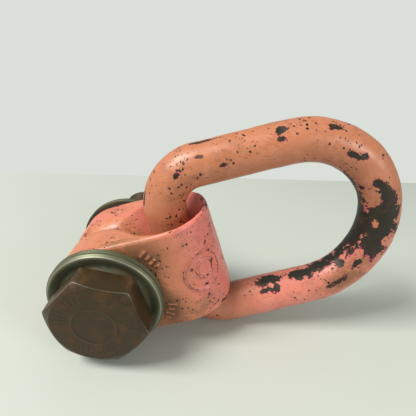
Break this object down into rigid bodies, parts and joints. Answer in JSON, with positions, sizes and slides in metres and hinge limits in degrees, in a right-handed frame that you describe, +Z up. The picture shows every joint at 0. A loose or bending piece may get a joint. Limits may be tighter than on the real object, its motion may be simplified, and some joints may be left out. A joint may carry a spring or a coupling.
{
  "type": "swivel hoist ring",
  "caption": "Side-load swivel hoist ring: hex bolt through a flanged ball-bearing bush, a forged strap body that turns on it, and a hinged oval lifting link.",
  "frame": {"origin": "centre of the bush's base face, on the bolt axis, where the threaded end leaves the ring", "axes": "+Y along the bolt out of the base face and into the load, +Z up as the ring lies on its side, +X towards the oval link"},
  "size_m": [0.2242, 0.15, 0.1558],
  "materials": {
    "body_paint": "coral-pink paint over a rough forging, chipped and rubbed",
    "link_paint": "coral-pink paint over round bar, worn to dark steel inside the eye",
    "bolt_steel": "blackened steel with brown rust",
    "flange_steel": "turned steel with a dull olive plating",
    "spring_steel": "phosphated spring steel",
    "ball_steel": "ground bearing balls",
    "seal_rubber": "black rubber"
  },
  "bodies": {
    "base": {"bush": "flange_steel", "base_flange": "flange_steel", "snap_ring": "spring_steel", "head_seal": "seal_rubber", "base_seal": "seal_rubber"},
    "bolt": {"bolt": "bolt_steel", "bolt_retainer": "spring_steel"},
    "strap": {"strap_body": "body_paint"},
    "link": {"link": "link_paint"},
    "head_balls": {"head_balls": "ball_steel"},
    "base_balls": {"base_balls": "ball_steel"}
  },
  "joints": [
    {"name": "strap_swivel", "type": "hinge", "parent": "base", "child": "strap", "pos_m": [0, 0, 0], "axis": [0, 1, 0], "continuous": true},
    {"name": "bolt_turn", "type": "hinge", "parent": "base", "child": "bolt", "pos_m": [0, 0, 0], "axis": [0, 1, 0], "continuous": true},
    {"name": "head_balls_roll", "type": "hinge", "parent": "base", "child": "head_balls", "pos_m": [0, 0, 0], "axis": [0, 1, 0], "continuous": true},
    {"name": "base_balls_roll", "type": "hinge", "parent": "base", "child": "base_balls", "pos_m": [0, 0, 0], "axis": [0, 1, 0], "continuous": true},
    {"name": "link_swing", "type": "hinge", "parent": "strap", "child": "link", "pos_m": [0.03998, -0.0385, 0.02189], "axis": [-0.3371, 0, 0.9415], "range_deg": [-121, 109]}
  ],
  "couplings": [
    {"joint": "head_balls_roll", "follows": "strap_swivel", "ratio": 0.5},
    {"joint": "base_balls_roll", "follows": "strap_swivel", "ratio": 0.5}
  ]
}
